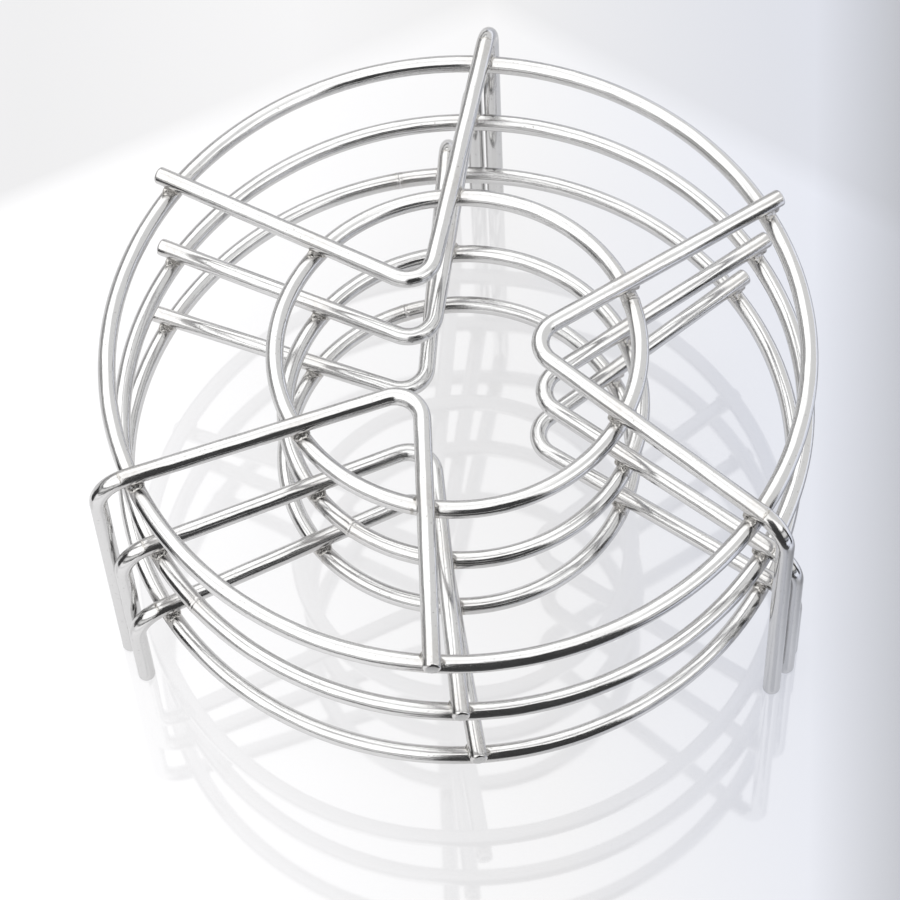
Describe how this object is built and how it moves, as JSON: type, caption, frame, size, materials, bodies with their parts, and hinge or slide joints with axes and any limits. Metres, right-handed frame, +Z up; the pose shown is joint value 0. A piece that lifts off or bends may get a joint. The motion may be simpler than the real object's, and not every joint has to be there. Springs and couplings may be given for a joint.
{
  "type": "nested cooling racks",
  "caption": "Nested set of round wire cooling racks of stepped heights, each a pair of rings under V-shaped wires that bend down into legs.",
  "frame": {"origin": "on the table that the feet stand on, under the centre of the set's bounding box", "axes": "+Z up along the racks' axes, from the feet to the deck; +Y towards the back, where one leg of each rack stands; +X to the right"},
  "size_m": [0.188, 0.1972, 0.089],
  "materials": {
    "polished_wire": "bright polished drawn stainless wire",
    "weld_metal": "electropolished weld metal, slightly dull and rounded"
  },
  "bodies": {
    "low_rack": {"low_outer_ring": "polished_wire", "low_inner_ring": "polished_wire", "low_leg_wire_1": "polished_wire", "low_leg_wire_2": "polished_wire", "low_leg_wire_3": "polished_wire", "low_outer_weld_1": "weld_metal", "low_outer_weld_2": "weld_metal", "low_outer_weld_3": "weld_metal", "low_outer_weld_4": "weld_metal", "low_outer_weld_5": "weld_metal", "low_outer_weld_6": "weld_metal", "low_inner_weld_1": "weld_metal", "low_inner_weld_2": "weld_metal", "low_inner_weld_3": "weld_metal", "low_inner_weld_4": "weld_metal", "low_inner_weld_5": "weld_metal", "low_inner_weld_6": "weld_metal"},
    "middle_rack": {"middle_outer_ring": "polished_wire", "middle_inner_ring": "polished_wire", "middle_leg_wire_1": "polished_wire", "middle_leg_wire_2": "polished_wire", "middle_leg_wire_3": "polished_wire", "middle_outer_weld_1": "weld_metal", "middle_outer_weld_2": "weld_metal", "middle_outer_weld_3": "weld_metal", "middle_outer_weld_4": "weld_metal", "middle_outer_weld_5": "weld_metal", "middle_outer_weld_6": "weld_metal", "middle_inner_weld_1": "weld_metal", "middle_inner_weld_2": "weld_metal", "middle_inner_weld_3": "weld_metal", "middle_inner_weld_4": "weld_metal", "middle_inner_weld_5": "weld_metal", "middle_inner_weld_6": "weld_metal"},
    "tall_rack": {"tall_outer_ring": "polished_wire", "tall_inner_ring": "polished_wire", "tall_leg_wire_1": "polished_wire", "tall_leg_wire_2": "polished_wire", "tall_leg_wire_3": "polished_wire", "tall_outer_weld_1": "weld_metal", "tall_outer_weld_2": "weld_metal", "tall_outer_weld_3": "weld_metal", "tall_outer_weld_4": "weld_metal", "tall_outer_weld_5": "weld_metal", "tall_outer_weld_6": "weld_metal", "tall_inner_weld_1": "weld_metal", "tall_inner_weld_2": "weld_metal", "tall_inner_weld_3": "weld_metal", "tall_inner_weld_4": "weld_metal", "tall_inner_weld_5": "weld_metal", "tall_inner_weld_6": "weld_metal"}
  },
  "joints": [
    {"name": "middle_rack_lift", "type": "slide", "parent": "low_rack", "child": "middle_rack", "axis": [0, 0, 1], "range_m": [0, 0.04]},
    {"name": "tall_rack_lift", "type": "slide", "parent": "middle_rack", "child": "tall_rack", "axis": [0, 0, 1], "range_m": [0, 0.066]}
  ]
}
